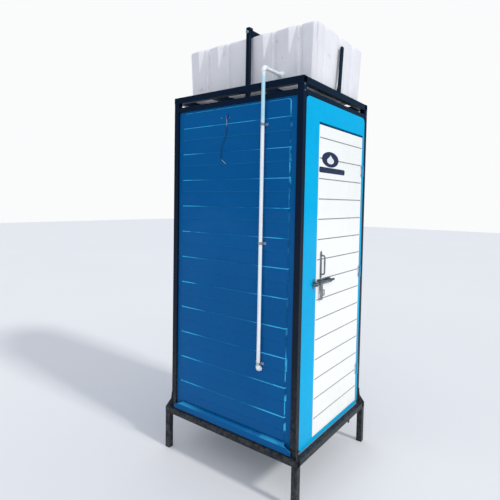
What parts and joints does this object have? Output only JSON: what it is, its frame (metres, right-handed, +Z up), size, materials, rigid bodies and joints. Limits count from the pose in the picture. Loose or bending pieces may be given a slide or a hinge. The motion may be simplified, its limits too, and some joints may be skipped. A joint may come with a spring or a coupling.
{
  "type": "portable shower cabin",
  "caption": "Steel-caged shower cabin with moulded blue walls, a hinged white door, a roof water tank and an outside feed pipe.",
  "frame": {"origin": "on the ground, under the middle of the cage", "axes": "+X to the right when facing the door, +Y to the back, +Z up"},
  "size_m": [0.96, 1.048, 2.8],
  "materials": {
    "frame_paint": "satin black paint",
    "bolt_steel": "zinc plated",
    "wall_blue": "gel-coat gloss",
    "surround_cyan": "gel-coat gloss",
    "roof_white": "gel-coat",
    "pan_grey": "anti-slip",
    "door_white": "gel-coat gloss",
    "furniture_steel": "worn zinc",
    "tank_plastic": "rotomoulded",
    "pipe_plastic": "rigid pipe",
    "chrome_plate": "polished",
    "pull_red": "gloss paint",
    "rod_steel": "plain",
    "lamp_glass": "frosted diffuser",
    "flex_rubber": "matt"
  },
  "bodies": {
    "cabin": {"back_wall": "wall_blue", "base_ring_ends": "frame_paint", "base_ring_sides": "frame_paint", "corner_gussets": "frame_paint", "corner_posts": "frame_paint", "cross_bearers": "frame_paint", "drain_body": "pipe_plastic", "drain_grate": "chrome_plate", "drop_pipe": "pipe_plastic", "flex_gland": "wall_blue", "floor_pan": "pan_grey", "front_surround": "surround_cyan", "hinge_pins": "furniture_steel", "hold_down_bar": "frame_paint", "hold_down_bolts": "bolt_steel", "hold_down_posts": "frame_paint", "inside_elbows": "pipe_plastic", "inside_pipes": "pipe_plastic", "inside_tee": "pipe_plastic", "jamb_hinge_leaves": "surround_cyan", "jamb_keeper": "furniture_steel", "lamp_base": "roof_white", "lamp_lens": "lamp_glass", "left_wall": "wall_blue", "legs": "frame_paint", "lid_pin": "bolt_steel", "lower_elbow": "pipe_plastic", "lower_ring_ends": "frame_paint", "lower_ring_sides": "frame_paint", "outlet_pipe": "pipe_plastic", "pan_skirts": "wall_blue", "pipe_clips": "bolt_steel", "right_wall": "wall_blue", "ring_bolts": "bolt_steel", "riser_brackets": "pipe_plastic", "roof_panel": "roof_white", "shower_head": "chrome_plate", "shower_valve": "chrome_plate", "supply_flex": "flex_rubber", "tank_outlet": "pipe_plastic", "tank_shell": "tank_plastic", "tank_stop_bar": "frame_paint", "tap_body": "chrome_plate", "top_elbow": "pipe_plastic", "upper_ring_ends": "frame_paint", "upper_ring_sides": "frame_paint", "wall_screws": "bolt_steel"},
    "door": {"door_panel": "door_white", "door_hinge_leaves": "door_white", "door_handle": "furniture_steel", "handle_screws": "bolt_steel", "latch_guides": "furniture_steel", "padlock_staple": "furniture_steel"},
    "latch_rod": {"latch_rod": "furniture_steel"},
    "latch_hasp": {"latch_hasp": "furniture_steel"},
    "tank_lid": {"tank_lid": "tank_plastic"},
    "tap_lever": {"tap_lever": "chrome_plate"},
    "valve_lever": {"valve_lever": "pull_red"},
    "pull_rod": {"pull_rod": "rod_steel", "pull_handle": "pull_red"}
  },
  "joints": [
    {"name": "door_hinge", "type": "hinge", "parent": "cabin", "child": "door", "pos_m": [0.3835, -0.5, 1.2435], "axis": [0, 0, 1], "range_deg": [0, 110]},
    {"name": "latch_slide", "type": "slide", "parent": "door", "child": "latch_rod", "axis": [1, 0, 0], "range_m": [0, 0.055]},
    {"name": "hasp_swing", "type": "hinge", "parent": "latch_rod", "child": "latch_hasp", "pos_m": [-0.2035, -0.506, 1.243], "axis": [-1, 0, 0], "range_deg": [0, 100]},
    {"name": "lid_hinge", "type": "hinge", "parent": "cabin", "child": "tank_lid", "pos_m": [0.0465, 0.427, 2.766], "axis": [-1, 0, 0], "range_deg": [0, 110]},
    {"name": "tap_turn", "type": "hinge", "parent": "cabin", "child": "tap_lever", "pos_m": [-0.3433, -0.24, 0.755], "axis": [0, 0, 1], "range_deg": [0, 90]},
    {"name": "valve_pull", "type": "hinge", "parent": "cabin", "child": "valve_lever", "pos_m": [-0.29, -0.047, 2.085], "axis": [0, 1, 0], "range_deg": [0, 80]},
    {"name": "pull_rod_swing", "type": "hinge", "parent": "valve_lever", "child": "pull_rod", "pos_m": [-0.17, -0.056, 2.085], "axis": [0, 1, 0], "range_deg": [-80, 0]}
  ],
  "couplings": [
    {"joint": "pull_rod_swing", "follows": "valve_pull", "ratio": -1}
  ]
}
